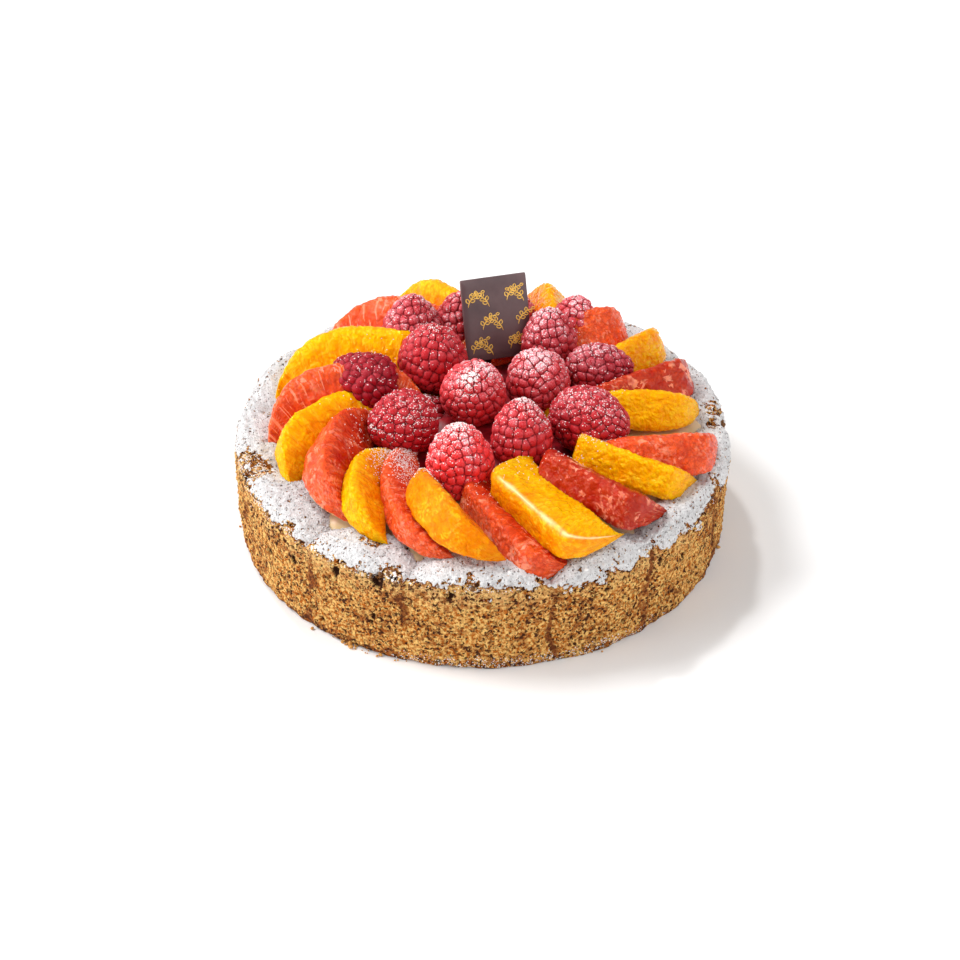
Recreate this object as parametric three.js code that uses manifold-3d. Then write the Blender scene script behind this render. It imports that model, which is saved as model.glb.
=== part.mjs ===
// Round citrus and raspberry tart: a piped almond biscuit case, a cream filling, a swirl of orange
// and grapefruit slices, a heap of raspberries and a chocolate plaque.
// Millimetres, +Z up. The origin is the middle of the flat base.
import * as THREE from "three";
import { mergeVertices } from "three/addons/utils/BufferGeometryUtils.js";
import Module from "manifold-3d";

const wasm = await Module();
wasm.setup();

// ---------- driving dimensions ----------

const GAP = 0.4; // left between pieces that touch
const MERGE = 1e-4; // vertices closer than this are one
const SLIVER = 0.12; // cut edges are smoothed within this distance

const CASE_RADIUS = 90; // at the widest part of the wall
const CASE_FOOT_RADIUS = 88; // at the base
const CASE_SIDES = 84;
const WALL_TOP = 35; // where the wall turns over into the rim
const RIM_TOP = 41; // crest of the rim
const RIM_WALL = 6; // how far inside the rim's inner edge the recess wall starts to drop
const FLOOR_TOP = 31; // recess floor, which carries the cream
const RIM_SLOPE = 2.5; // how far below the crest the rim's inner edge lies
const ROUNDING = 1.5; // how far the wall's foot and top are turned in
const SEAM_WIDTH = 2.6; // degrees, half width of the groove between two piped lobes
const SEAM_DEPTH = 0.6; // in the wall at the rim, half of it at the foot
const NOTCH_WIDTH = 5; // degrees, half width of the dip in the rim at a seam
const NOTCH_POWER = 1.3; // how quickly the dip falls away from the seam
const NOTCH_WIDENS = 0.85; // how far a dip moves the rim's inner edge out, as a share of its depth
const LOBE_BULGE = 0.5; // how far the middle of a lobe stands out at the rim, half of it at the foot

// One row for each piped lobe: azimuth of the seam where it starts, radius of the rim's inner edge,
// depth of the dip in the rim at the seam.
const LOBES = [
  [-164, 76, 2.4],
  [-134, 76, 4.2],
  [-107, 77, 4],
  [-74, 80, 6.5],
  [-48, 82, 2.6],
  [-20, 82, 1.8],
  [4, 82, 3],
  [32, 81, 2.4],
  [60, 79, 2],
  [88, 79, 2.8],
  [114, 78, 1.8],
  [140, 77, 2.6],
  [168, 76, 2],
];

const CREAM_TOP = 41; // flat ring that the slices lie on
const CREAM_EDGE_TOP = 38; // where it meets the rim
const CREAM_EDGE_HEIGHT = 3.5; // of the upright part of its edge
const CREAM_EDGE_WIDTH = 8; // of the slope from the edge up to the ring
const MOUND_TOP = 46; // raised middle, under the berries
const MOUND_RADIUS = 26;
const MOUND_SHOULDER = [21, 44.5]; // radius and height where its side turns over
const MOUND_FLAT = 14; // radius of its flat top
const CREAM_SIDES = 36;

const SLICE_SIDES = 9;
const SLICE_STATIONS = 8;
const SLICE_TIP_Z = 39; // outer tip, on the rim
const SLICE_HEEL_Z = 42.5; // inner tip, under the berries
const SLICE_POWER = 9; // how sharp the edges of the section are
const SLICE_FILL = 0.55; // how full the slice stays towards its ends, lower for fuller
const PEEL_FLATNESS = 0.62; // centre of the section, as a share of the depth
const UPPER_FACE = 20; // degrees between the section's middle and its upper flat face
const UNDER_FACE = [20, 30]; // the same for the under face: least and most
const UNDER_FACE_DROP = 6; // the under face is this much flatter than the slice leans
const UNDER_FACE_LEVEL = 13; // under face of a slice that doesn't lean
const SLICES_OVER = 3; // how many slices further round lie over each slice
const CLEARLY_HIGHER = 4; // a slice lifted this much more lies over its neighbours on both sides

// One row for each slice, going round anticlockwise seen from above: kind, azimuth and radius of
// the outer tip, swing of the long axis past the radius, length, depth from core edge to peel side,
// lean of the section above the horizontal, bluntness of the ends, lift above the ring.
const SLICES = [
  ["grapefruit", -66, 84, 6, 51, 23, 14, 13, -2.5],
  ["orange", -55, 87, 2, 52, 25, -1, 12, 8],
  ["grapefruit", -37, 83, 0, 46, 25, 26, 13, 1.5],
  ["orange", -21, 83, -5, 44, 22, 27, 11, 0],
  ["grapefruit", -4, 84, 15, 48, 27, 27, 4, -0.5],
  ["orange", 10, 81, -7, 62, 20, 38, 4, 0.5],
  ["grapefruit", 28, 82, 8, 61, 22, 38, 5, -0.5],
  ["orange", 44, 83, 2, 50, 21, 33, 5, 1.5],
  ["grapefruit", 52, 82, -25, 53, 24, 47, 4, 0],
  ["orange", 81, 82, 10, 48, 22, 37, 4, 0.5],
  ["grapefruit", 96, 82, 8, 44, 25, 36, 4, 0],
  ["orange", 117, 81, 13, 49, 23, 34, 4, 1],
  ["grapefruit", 141, 78, 16, 63, 28, 27, 3, 0],
  ["orange", 166, 79, 7, 72, 30, 28, 3, -0.5],
  ["grapefruit", 189, 78, 4, 61, 27, 36, 3, 0],
  ["orange", 209, 76, 13, 52, 25, 22, 3, 0],
  ["grapefruit", 232, 73, 26, 55, 23, 34, 3, 2],
  ["orange", 245, 77, 20, 47, 20, 27, 2.5, 2],
  ["grapefruit", 263, 79, 19, 61, 20, 13, 2.5, 3],
  ["orange", 276, 83, 25, 52, 20, 38, 2.5, 5],
];

const BERRY_SIDES = 10;
const BERRY_STATIONS = 6;
const BERRY_TAPER = 0.16; // how much narrower the tip half is than the cup half
const BERRY_BUMP = 0.04; // height of a drupelet, as a share of the radius

// One row for each raspberry: centre x, y and z, azimuth and elevation of its tip, width, length.
const BERRIES = [
  [-43, 12, 53, 160, 21, 24, 27],
  [-26, 43, 55, 90, 73, 23, 27],
  [-18, 22, 57, 0, 84, 26, 27],
  [-29, -13, 52, 214, 12, 24, 27],
  [-3, 0, 57, 270, 58, 24, 27],
  [-8, -34, 51, 90, 84, 24, 29],
  [14, -21, 53, 90, 79, 22, 28],
  [20, 10, 56, 180, 73, 24, 24],
  [39, -11, 52, 328, 6, 25, 31],
  [43, 20, 53, 6, 6, 20, 26],
  [25, 36, 55, 90, 79, 21, 26],
  [34, 48, 54, 59, 60, 19, 23],
  [-8, 49, 54, 90, 79, 20, 25],
  [-20, 5, 41, 90, 79, 19, 20],
  [11, 51, 54, 90, 70, 20, 23],
];

const PLAQUE_WIDTH = 25;
const PLAQUE_HEIGHT = 31;
const PLAQUE_THICKNESS = 2;
const PLAQUE_BEVEL = 0.3;
const PLAQUE_FOOT = [7, 33, 49]; // middle of its lower edge
const PLAQUE_TURN = 14; // degrees about the vertical
const PLAQUE_LEAN = 23; // degrees back from the vertical

const LOOKS = {
  crust: { color: 0xc9995c, roughness: 0.9, metalness: 0 },
  cream: { color: 0xf0dca6, roughness: 0.4, metalness: 0 },
  orange: { color: 0xf4a10c, roughness: 0.25, metalness: 0 },
  grapefruit: { color: 0xe2523a, roughness: 0.25, metalness: 0 },
  raspberry: { color: 0xb4324a, roughness: 0.6, metalness: 0 },
  plaque: { color: 0x3f2a2c, roughness: 0.35, metalness: 0 },
};

// ---------- small helpers ----------

const rad = THREE.MathUtils.degToRad;
const clamp = THREE.MathUtils.clamp;

// A unit vector at an azimuth and an elevation in degrees.
function heading(azimuth, elevation) {
  const flat = Math.cos(rad(elevation));
  return new THREE.Vector3(
    flat * Math.cos(rad(azimuth)),
    flat * Math.sin(rad(azimuth)),
    Math.sin(rad(elevation)),
  );
}

// A geometry with only merged positions, each moved by place(point).
function reshaped(geometry, place) {
  const bare = new THREE.BufferGeometry();
  bare.setAttribute("position", geometry.getAttribute("position").clone());
  bare.setIndex(geometry.index);
  const position = bare.getAttribute("position");
  const point = new THREE.Vector3();
  for (let i = 0; i < position.count; i += 1) {
    point.fromBufferAttribute(position, i);
    place(point);
    position.setXYZ(i, point.x, point.y, point.z);
  }
  return mergeVertices(bare, MERGE);
}

// The same surface moved outwards by the gap, used to cut room for it in its neighbours.
function grown(geometry) {
  const bigger = geometry.clone();
  bigger.computeVertexNormals();
  const position = bigger.getAttribute("position");
  const normal = bigger.getAttribute("normal");
  for (let i = 0; i < position.count; i += 1) {
    position.setXYZ(
      i,
      position.getX(i) + GAP * normal.getX(i),
      position.getY(i) + GAP * normal.getY(i),
      position.getZ(i) + GAP * normal.getZ(i),
    );
  }
  bigger.deleteAttribute("normal");
  return bigger;
}

function solidOf(geometry) {
  return new wasm.Manifold(
    new wasm.Mesh({
      numProp: 3,
      vertProperties: new Float32Array(geometry.getAttribute("position").array),
      triVerts: new Uint32Array(geometry.index.array),
    }),
  );
}

// The largest separate body of a solid, with its thinnest slivers removed.
function mainBody(solid) {
  const bodies = solid.simplify(SLIVER).decompose();
  return bodies.reduce((best, body) => (body.volume() > best.volume() ? body : best));
}

function geometryOf(solid) {
  const { vertProperties, triVerts } = solid.getMesh();
  const geometry = new THREE.BufferGeometry();
  geometry.setAttribute("position", new THREE.BufferAttribute(vertProperties, 3));
  geometry.setIndex(new THREE.BufferAttribute(triVerts, 1));
  return geometry;
}

// ---------- biscuit case ----------

// The lobe at an azimuth: its number, the share of it passed, the nearer seam and how far off it is.
function lobeAt(azimuth) {
  const from = LOBES.map(([seam]) => THREE.MathUtils.euclideanModulo(azimuth - seam, 360));
  const index = from.indexOf(Math.min(...from));
  const next = (index + 1) % LOBES.length;
  const before = from[index];
  const after = THREE.MathUtils.euclideanModulo(LOBES[next][0] - azimuth, 360);
  const nearest = before < after ? index : next;
  return { index, share: before / (before + after), nearest, toSeam: Math.min(before, after) };
}

// 1 in a seam, falling to 0 on either side of it.
function seamAt(azimuth) {
  return Math.exp(-((lobeAt(azimuth).toSeam / SEAM_WIDTH) ** 2));
}

// Depth of the dip in the rim, deepest at a seam.
function notchAt(azimuth) {
  const { nearest, toSeam } = lobeAt(azimuth);
  return LOBES[nearest][2] * Math.exp(-((toSeam / NOTCH_WIDTH) ** NOTCH_POWER));
}

// 0 at the seams and 1 in the middle of a lobe.
function bulgeAt(azimuth) {
  return Math.sin(Math.PI * lobeAt(azimuth).share);
}

// Radius of the rim's inner edge without its dips, eased from each lobe to the next.
function rimInnerAt(azimuth) {
  const { index, share } = lobeAt(azimuth);
  const own = LOBES[index][1];
  const step = share < 0.5 ? -1 : 1;
  const other = LOBES[(index + step + LOBES.length) % LOBES.length][1];
  return own + (other - own) * Math.abs(share - 0.5);
}

// Height of the rim's crest: each lobe is a low hump, with a dip at its seams.
function crestAt(azimuth) {
  return RIM_TOP - 1 + bulgeAt(azimuth) - notchAt(azimuth);
}

// Outer radius of the wall at a height: a slight barrel, widest below the rim.
function wallAt(azimuth, height) {
  const rise = clamp(height / WALL_TOP, 0, 1);
  const barrel = CASE_FOOT_RADIUS + (CASE_RADIUS - CASE_FOOT_RADIUS) * Math.sqrt(rise);
  const relief = (1 + rise) / 2;
  const hollow = LOBE_BULGE * (1 - bulgeAt(azimuth)) + SEAM_DEPTH * seamAt(azimuth);
  return barrel - relief * hollow;
}

// The case's outline at an azimuth, from the middle of its base round to the recess floor.
function caseOutline(azimuth) {
  const wall = (height) => wallAt(azimuth, height);
  const crest = crestAt(azimuth);
  const shoulder = Math.min(WALL_TOP, crest - 1);
  const inner = rimInnerAt(azimuth) + NOTCH_WIDENS * notchAt(azimuth);
  const over = (wall(shoulder) + inner) / 2;
  return [
    [0, 0],
    [wall(0) - ROUNDING, 0],
    [wall(1), 1],
    [wall(WALL_TOP / 3), WALL_TOP / 3],
    [wall((2 * WALL_TOP) / 3), (2 * WALL_TOP) / 3],
    [wall(shoulder), shoulder],
    [wall(shoulder) - ROUNDING, (shoulder + crest) / 2],
    [over + ROUNDING, crest],
    [inner, Math.max(crest - RIM_SLOPE, FLOOR_TOP + 1)],
    [inner - RIM_WALL, FLOOR_TOP],
    [0, FLOOR_TOP],
  ];
}

// A lathe whose outline changes with the azimuth. outlineAt gives the same number of points,
// the first and the last on the axis, at every azimuth.
function latheOf(outlineAt, sides) {
  const count = outlineAt(0).length;
  const pattern = Array.from({ length: count }, (_, i) => {
    const onAxis = i === 0 || i === count - 1;
    return new THREE.Vector2(onAxis ? 0 : 1, i);
  });
  return reshaped(new THREE.LatheGeometry(pattern, sides), (point) => {
    const azimuth = THREE.MathUtils.radToDeg(Math.atan2(point.x, point.z));
    const [radius, height] = outlineAt(azimuth)[Math.round(point.y)];
    point.set(radius * Math.cos(rad(azimuth)), radius * Math.sin(rad(azimuth)), height);
  });
}

// ---------- cream filling ----------

function creamOutline(azimuth) {
  const edge = rimInnerAt(azimuth) - RIM_WALL / 2 - GAP;
  return [
    [0, FLOOR_TOP + GAP],
    [edge - RIM_WALL / 2 - GAP, FLOOR_TOP + GAP],
    [edge, CREAM_EDGE_TOP - CREAM_EDGE_HEIGHT],
    [edge - 1, CREAM_EDGE_TOP],
    [edge - CREAM_EDGE_WIDTH, CREAM_TOP],
    [MOUND_RADIUS, CREAM_TOP],
    MOUND_SHOULDER,
    [MOUND_FLAT, MOUND_TOP],
    [0, MOUND_TOP],
  ];
}

// ---------- citrus slices ----------

// Degrees between the middle of a slice's section and its under face.
function underFace(lean) {
  return lean > 0 ? clamp(lean - UNDER_FACE_DROP, ...UNDER_FACE) : UNDER_FACE_LEVEL;
}

// Radius of the rounded wedge section about its own centre, in direction angle.
// It is a smooth blend of the two flat faces and the peel side.
function wedgeRadius(angle, depth, under) {
  const toCore = PEEL_FLATNESS * depth;
  const sides = [
    [rad(90 + UPPER_FACE), toCore * Math.sin(rad(UPPER_FACE))],
    [rad(-90 - under), toCore * Math.sin(rad(under))],
    [0, depth - toCore],
  ];
  const sum = sides.reduce((total, [normal, distance]) => {
    return total + (Math.max(Math.cos(angle - normal), 0) / distance) ** SLICE_POWER;
  }, 0);
  return sum ** (-1 / SLICE_POWER);
}

// A slice is a wedge that narrows to its core edge at both ends. Its sections are rounded
// triangles, from the core edge out to the peel side.
function slice([, tipAzimuth, tipRadius, swing, length, depth, lean, bluntness, lift]) {
  const drop = THREE.MathUtils.radToDeg(Math.asin((SLICE_TIP_Z - SLICE_HEEL_Z) / length));
  const along = heading(tipAzimuth + swing, drop);
  const across = heading(tipAzimuth + swing - 90, 0);
  const up = new THREE.Vector3().crossVectors(across, along);
  const toPeel = across.clone().multiplyScalar(Math.cos(rad(lean)));
  toPeel.addScaledVector(up, Math.sin(rad(lean)));
  const sideways = new THREE.Vector3().crossVectors(toPeel, along);
  const middle = heading(tipAzimuth, 0).multiplyScalar(tipRadius).setZ(SLICE_TIP_Z + lift);
  middle.addScaledVector(along, -length / 2);

  const ball = new THREE.SphereGeometry(1, SLICE_SIDES, SLICE_STATIONS);
  return reshaped(ball, (point) => {
    const station = clamp(point.y, -1, 1);
    const angle = Math.atan2(point.z, point.x);
    const swell = (1 - Math.abs(station) ** bluntness) ** SLICE_FILL;
    const reach = wedgeRadius(angle, depth, underFace(lean));
    const out = swell * (PEEL_FLATNESS * depth + reach * Math.cos(angle));
    const side = swell * reach * Math.sin(angle);
    point.copy(middle).addScaledVector(along, (station * length) / 2);
    point.addScaledVector(toPeel, out).addScaledVector(sideways, side);
  });
}

// Whether one slice lies over another. Of near neighbours it is the later one round, unless the
// other is clearly higher.
function liesOver(upper, lower) {
  const steps = THREE.MathUtils.euclideanModulo(upper - lower, SLICES.length);
  const higher = SLICES[upper].at(-1) - SLICES[lower].at(-1);
  const later = steps > 0 && steps <= SLICES_OVER;
  const earlier = steps >= SLICES.length - SLICES_OVER;
  return (later && higher >= -CLEARLY_HIGHER) || (earlier && higher > CLEARLY_HIGHER);
}

// ---------- raspberries ----------

// A raspberry is a blunt cone of revolution about its axis, with alternate points of the grid
// raised as drupelets.
function raspberry([x, y, z, tipAzimuth, tipElevation, width, length]) {
  const axis = heading(tipAzimuth, tipElevation);
  const stand = new THREE.Quaternion().setFromUnitVectors(new THREE.Vector3(0, 1, 0), axis);
  const ball = new THREE.SphereGeometry(1, BERRY_SIDES, BERRY_STATIONS);
  return reshaped(ball, (point) => {
    const station = clamp(point.y, -1, 1);
    const row = Math.round((Math.acos(station) / Math.PI) * BERRY_STATIONS);
    const column = Math.round((Math.atan2(point.z, point.x) / (2 * Math.PI)) * BERRY_SIDES);
    const bump = 1 + BERRY_BUMP * ((row + column) % 2 === 0 ? 1 : -1);
    const girth = (width / 2) * (1 - BERRY_TAPER * station) * bump;
    point.set(point.x * girth, (station * length) / 2, point.z * girth);
    point.applyQuaternion(stand).add(new THREE.Vector3(x, y, z));
  });
}

// ---------- chocolate plaque ----------

function plaque() {
  const half = PLAQUE_WIDTH / 2 - PLAQUE_BEVEL;
  const outline = new THREE.Shape();
  outline.moveTo(-half, PLAQUE_BEVEL);
  outline.lineTo(half, PLAQUE_BEVEL);
  outline.lineTo(half, PLAQUE_HEIGHT - PLAQUE_BEVEL);
  outline.lineTo(-half, PLAQUE_HEIGHT - PLAQUE_BEVEL);
  const slab = new THREE.ExtrudeGeometry(outline, {
    depth: PLAQUE_THICKNESS - 2 * PLAQUE_BEVEL,
    bevelThickness: PLAQUE_BEVEL,
    bevelSize: PLAQUE_BEVEL,
    bevelSegments: 1,
  });
  slab.rotateX(rad(90 - PLAQUE_LEAN));
  slab.rotateZ(rad(PLAQUE_TURN));
  slab.translate(...PLAQUE_FOOT);
  return mergeVertices(slab.deleteAttribute("normal").deleteAttribute("uv"), MERGE);
}

// ---------- assembly ----------

const tart = new THREE.Group();

function addPiece(name, look, solid) {
  const mesh = new THREE.Mesh(geometryOf(solid), new THREE.MeshStandardMaterial(LOOKS[look]));
  mesh.name = name;
  tart.add(mesh);
}

const crust = latheOf(caseOutline, CASE_SIDES);
addPiece("crust", "crust", solidOf(crust));

const cream = latheOf(creamOutline, CREAM_SIDES);
addPiece("cream_filling", "cream", solidOf(cream));

const plaqueSlab = plaque();
addPiece("chocolate_plaque", "plaque", solidOf(plaqueSlab));

// Each raspberry makes room for the plaque, the cream and the berries before it.
const berryShapes = BERRIES.map(raspberry);
const roomForBerry = [cream, plaqueSlab].map((shape) => solidOf(grown(shape)));
berryShapes.forEach((shape, index) => {
  const berry = roomForBerry.reduce((left, room) => left.subtract(room), solidOf(shape));
  addPiece(`raspberry_${index + 1}`, "raspberry", mainBody(berry));
  roomForBerry.push(solidOf(grown(shape)));
});

// Each slice makes room for what is under it and on it, and for the slices that lie over it.
const sliceShapes = SLICES.map(slice);
const grownSlices = sliceShapes.map((shape) => solidOf(grown(shape)));
const aroundSlices = [crust, cream, plaqueSlab, ...berryShapes].map((shape) => solidOf(grown(shape)));
const made = { orange: 0, grapefruit: 0 };
sliceShapes.forEach((shape, index) => {
  const over = grownSlices.filter((_, other) => liesOver(other, index));
  const rooms = [...aroundSlices, ...over];
  const cut = rooms.reduce((left, room) => left.subtract(room), solidOf(shape));
  const kind = SLICES[index][0];
  made[kind] += 1;
  addPiece(`${kind}_${made[kind]}`, kind, mainBody(cut));
});

export default tart;
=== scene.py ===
import math

import bpy
import numpy as np
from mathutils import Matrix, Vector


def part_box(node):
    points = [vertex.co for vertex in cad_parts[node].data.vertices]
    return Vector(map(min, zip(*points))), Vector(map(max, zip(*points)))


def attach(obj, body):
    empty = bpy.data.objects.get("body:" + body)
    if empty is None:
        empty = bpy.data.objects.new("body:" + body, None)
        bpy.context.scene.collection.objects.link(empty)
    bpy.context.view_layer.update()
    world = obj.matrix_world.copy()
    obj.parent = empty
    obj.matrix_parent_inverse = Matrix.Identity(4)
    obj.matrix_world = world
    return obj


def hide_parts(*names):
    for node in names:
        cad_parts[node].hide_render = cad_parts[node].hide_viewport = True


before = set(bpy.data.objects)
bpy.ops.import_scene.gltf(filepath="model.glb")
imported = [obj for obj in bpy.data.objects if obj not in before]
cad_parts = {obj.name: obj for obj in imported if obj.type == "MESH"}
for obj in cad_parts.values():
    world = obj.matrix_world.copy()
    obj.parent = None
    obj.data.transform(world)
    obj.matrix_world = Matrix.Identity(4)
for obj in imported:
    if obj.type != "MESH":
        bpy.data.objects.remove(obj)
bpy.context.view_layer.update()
MM = 0.001

# ================================================================ biscuit case
# The case is soft almond dough piped round a ring in thirteen lobes and baked to a golden tan. Its
# wall is open and crumbly, with pores and holes, a browner seam between one lobe and the next and
# a ragged foot. It carries everything else, and replaces the plain crust.

# Shapes are worked out in millimetres, and new_piece puts them in metres.
crust_low, crust_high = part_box("crust")
CASE_RADIUS = (crust_high.x - crust_low.x) / 2 / MM + 0.16
RIM_CREST = crust_high.z / MM
FOOT_RADIUS = CASE_RADIUS - 2
WALL_TOP = RIM_CREST - 6
FLOOR_TOP = 31
# Widths of a seam and of a notch are in degrees of azimuth.
SEAM_WIDTH = 1.1
SEAM_DEPTH = 0.5
NOTCH_WIDTH = 5
NOTCH_POWER = 1.3
NOTCH_WIDENS = 0.85
LOBE_BULGE = 0.5
# One row for each piped lobe: azimuth of the seam where it starts, radius of the rim's inner edge,
# depth of the notch that the seam makes in the rim, how far down the wall its sugar reaches.
LOBES = np.array([
    (-164, 76, 2.4, 1), (-134, 76, 4.2, 3), (-107, 77, 4.0, 3), (-74, 80, 6.5, 8), (-48, 82, 2.6, 8),
    (-20, 82, 1.8, 8), (4, 82, 3.0, 6), (32, 81, 2.4, 3), (60, 79, 2.0, 3), (88, 79, 2.8, 3),
    (114, 78, 1.8, 3), (140, 77, 2.6, 2), (168, 76, 2.0, 2),
])
CASE_COLUMNS = 1056
CRUMB_SIZE = 1.9
PIT_SIZE = 2.6
HOLE_SIZE = 8
# Azimuth, height, radius and depth of each larger hole that a bubble or a lost crumb left.
HOLES = [
    (-148, 21, 1.1, 1.6), (-138, 27, 1.3, 1.8), (-125, 32, 1.3, 1.8), (-145, 10, 0.8, 1.2),
    (-114, 35, 1.8, 2.4), (-110, 37.5, 1.6, 2.2), (-110, 13, 0.9, 1.2), (-30, 35, 1.2, 1.8),
    (-37, 24, 1.0, 1.4), (-68, 36, 0.9, 1.4), (-61, 28, 1.0, 1.2), (-45, 36, 1.6, 1.6),
    (-45, 29, 0.9, 1.2), (-97, 33, 1.0, 1.2), (-84, 9, 1.0, 1.2), (-163, 37.5, 2.2, 2.8),
    (-168, 33, 1.4, 1.8), (5, 37, 1.8, 2.2), (20, 24, 1.2, 1.6), (52, 30, 1.1, 1.6),
    (80, 16, 1.0, 1.4), (104, 32, 1.5, 2.0), (131, 22, 1.1, 1.6), (158, 34, 1.4, 2.0),
    (176, 18, 1.0, 1.4),
]
# Colours of the crumb, from its light grains to the near-black painted shade of its pits, of a seam
# and of sugar dust.
CRUMB = {
    "light": "FFD07A", "shade": "BE620C", "pale": "F2CC8C", "fleck": "9A4E16", "speck": "4C240A",
    "chain": "482208", "pore": "461F08", "pit": "3A1A08", "seam": "84421A", "dust": "FAF6F2",
}


def hashed(cells, seed):
    """A steady number from 0 to 1 for each whole-number cell: its three coordinates are multiplied by
    large odd numbers, folded over themselves twice and cut to their low 24 bits."""
    mixed = cells[..., 0] * 73856093 + cells[..., 1] * 19349663 + cells[..., 2] * 83492791
    mixed = mixed + seed * 15485863
    mixed = (mixed ^ (mixed >> 15)) * 2246822519
    mixed = (mixed ^ (mixed >> 13)) * 3266489917
    return ((mixed ^ (mixed >> 16)) & 0xFFFFFF) / 0xFFFFFF


def ripple(points, size, seed):
    """Smooth noise from -1 to 1 with lumps of that size: the hashed numbers at the eight corners of a
    point's cell, mixed along each side by 3t^2 - 2t^3."""
    scaled = points / size
    low = np.floor(scaled).astype(np.int64)
    t = scaled - low
    t = t * t * (3 - 2 * t)
    total = np.zeros(points.shape[:-1])
    for corner in np.ndindex(2, 2, 2):
        weight = np.prod(np.where(np.array(corner, bool), t, 1 - t), axis=-1)
        total += weight * hashed(low + np.array(corner), seed)
    return 2 * total - 1


def packed_cells(points, size, seed):
    """Distances, in cell sizes, to the nearest and the next nearest of centres scattered one to a
    cell, and a number from 0 to 1 that belongs to the nearest."""
    scaled = points / size
    low = np.floor(scaled).astype(np.int64)
    near = np.full(points.shape[:-1], 9.0)
    following = near.copy()
    owner = np.zeros(points.shape[:-1])
    for step in np.ndindex(3, 3, 3):
        cell = low + np.array(step) - 1
        centre = cell + np.stack([hashed(cell, seed + k) for k in range(3)], -1)
        away = np.linalg.norm(scaled - centre, axis=-1)
        closer = away < near
        following = np.where(closer, near, np.minimum(following, away))
        owner = np.where(closer, hashed(cell, seed + 3), owner)
        near = np.where(closer, away, near)
    return near, following, owner


def domed(near, following):
    """0 in the crease between two cells, where both centres are equally near, rising to 1."""
    return np.clip(following - near, 0, 0.5) / 0.5


def eased(value, low, high):
    """0 below low and 1 above high, with 3t^2 - 2t^3 in between. low may be above high."""
    t = np.clip((value - low) / (high - low), 0, 1)
    return t * t * (3 - 2 * t)


def bell(value, width):
    """1 at nothing, falling away on both sides as e to the minus square of value over width."""
    return np.exp(-((value / width) ** 2))


def unit(vectors):
    """The vectors at length 1."""
    return vectors / np.maximum(np.linalg.norm(vectors, axis=-1, keepdims=True), 1e-12)


def outward(grid):
    """Unit normals of a grid whose columns run round: its step across the columns crossed with its
    step along the rows."""
    across = np.roll(grid, -1, 1) - np.roll(grid, 1, 1)
    return unit(np.cross(across, np.gradient(grid, axis=0)))


def turned_to(azimuth, other):
    """The turn from one azimuth to another, from -180 to 180 degrees."""
    return (azimuth - other + 180) % 360 - 180


def round_upright(radius, azimuth, height):
    """Points at those radii and heights, and at those azimuths in degrees round the upright."""
    spin = np.radians(azimuth)
    return np.stack([radius * np.cos(spin), radius * np.sin(spin), height], -1)


def lathe(outline, azimuth, places):
    """Points (rows, columns, 3) of an outline turned about the upright, at each place along it and
    each azimuth. The outline is a quadratic B-spline drawn by controls of radius and height: half the
    square of the way from or to a neighbour weighs that neighbour, and the nearest control takes the
    rest."""
    zero = np.zeros_like(azimuth)
    controls = np.array([(radius + zero, height + zero) for radius, height in outline])
    nearest = np.clip(np.round(places).astype(int), 1, len(controls) - 2)
    t = (places - nearest + 0.5)[:, None, None]
    before, here, after = controls[nearest - 1], controls[nearest], controls[nearest + 1]
    profile = (1 - t) ** 2 / 2 * before + (0.75 - (t - 0.5) ** 2) * here + t**2 / 2 * after
    return round_upright(profile[:, 0], azimuth, profile[:, 1])


def lobe_at(azimuth):
    """For each azimuth: a seam's closeness, 1 in it and falling away as a bell curve; the bulge, the
    sine of the share of the lobe passed; the rim's inner radius, eased between lobes and wider in a
    notch; the notch's depth, which falls away from the seam by powers of e; and the sugar's reach."""
    seams = LOBES[:, 0]
    after_each = (azimuth[..., None] - seams) % 360
    index = np.argmin(after_each, axis=-1)
    before = after_each.min(axis=-1)
    after = (seams[(index + 1) % len(seams)] - azimuth) % 360
    share = before / (before + after)
    away = np.minimum(before, after)
    neighbour = (index + np.where(share < 0.5, -1, 1)) % len(seams)
    own = LOBES[index]
    own = own + (LOBES[neighbour] - own) * np.abs(share - 0.5)[..., None]
    nearest = np.where(share < 0.5, index, (index + 1) % len(seams))
    notch = LOBES[nearest, 2] * np.exp(-((away / NOTCH_WIDTH) ** NOTCH_POWER))
    inner = own[..., 1] + NOTCH_WIDENS * notch
    return bell(away, SEAM_WIDTH), np.sin(np.pi * share), inner, notch, own[..., 3]


def on_case(azimuth, places):
    """Points of the smooth case. Its outline runs from the middle of its base, up the barrelled wall,
    over the rim and down to the recess floor, with the seams sunk in. A place counts its controls: 4
    is at the foot, 10 at the top of the wall, 13 on the crest and 17 where the recess floor starts."""
    seam, bulge, inner, notch, _ = lobe_at(azimuth)
    crest = RIM_CREST - 0.6 + bulge - notch

    def wall(height):
        rise = height / WALL_TOP
        hollow = LOBE_BULGE * (1 - bulge) + SEAM_DEPTH * seam
        return FOOT_RADIUS + (CASE_RADIUS - FOOT_RADIUS) * math.sqrt(rise) - (1 + rise) / 2 * hollow

    top = wall(WALL_TOP)
    outline = [
        (0, 0), (0, 0), (wall(0) * 0.6, 0), (wall(0) - 1.4, 0), (wall(0) - 0.2, 0),
        (wall(1), 1.2), (wall(7), 7), (wall(14), 14), (wall(21), 21), (wall(28), 28),
        (top, WALL_TOP - 1), (top - 0.6, (WALL_TOP + crest) / 2 + 0.5), (top - 2.2, crest - 0.6),
        ((top + inner) / 2 + 1, crest + 0.5), (inner - 1, crest - 0.2), (inner - 6, crest - 1.2),
        (inner - 8, (crest + FLOOR_TOP) / 2 - 2), (inner - 10, FLOOR_TOP), (inner - 18, FLOOR_TOP),
        (0, FLOOR_TOP), (0, FLOOR_TOP),
    ]
    return lathe(outline, azimuth, places)


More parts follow.
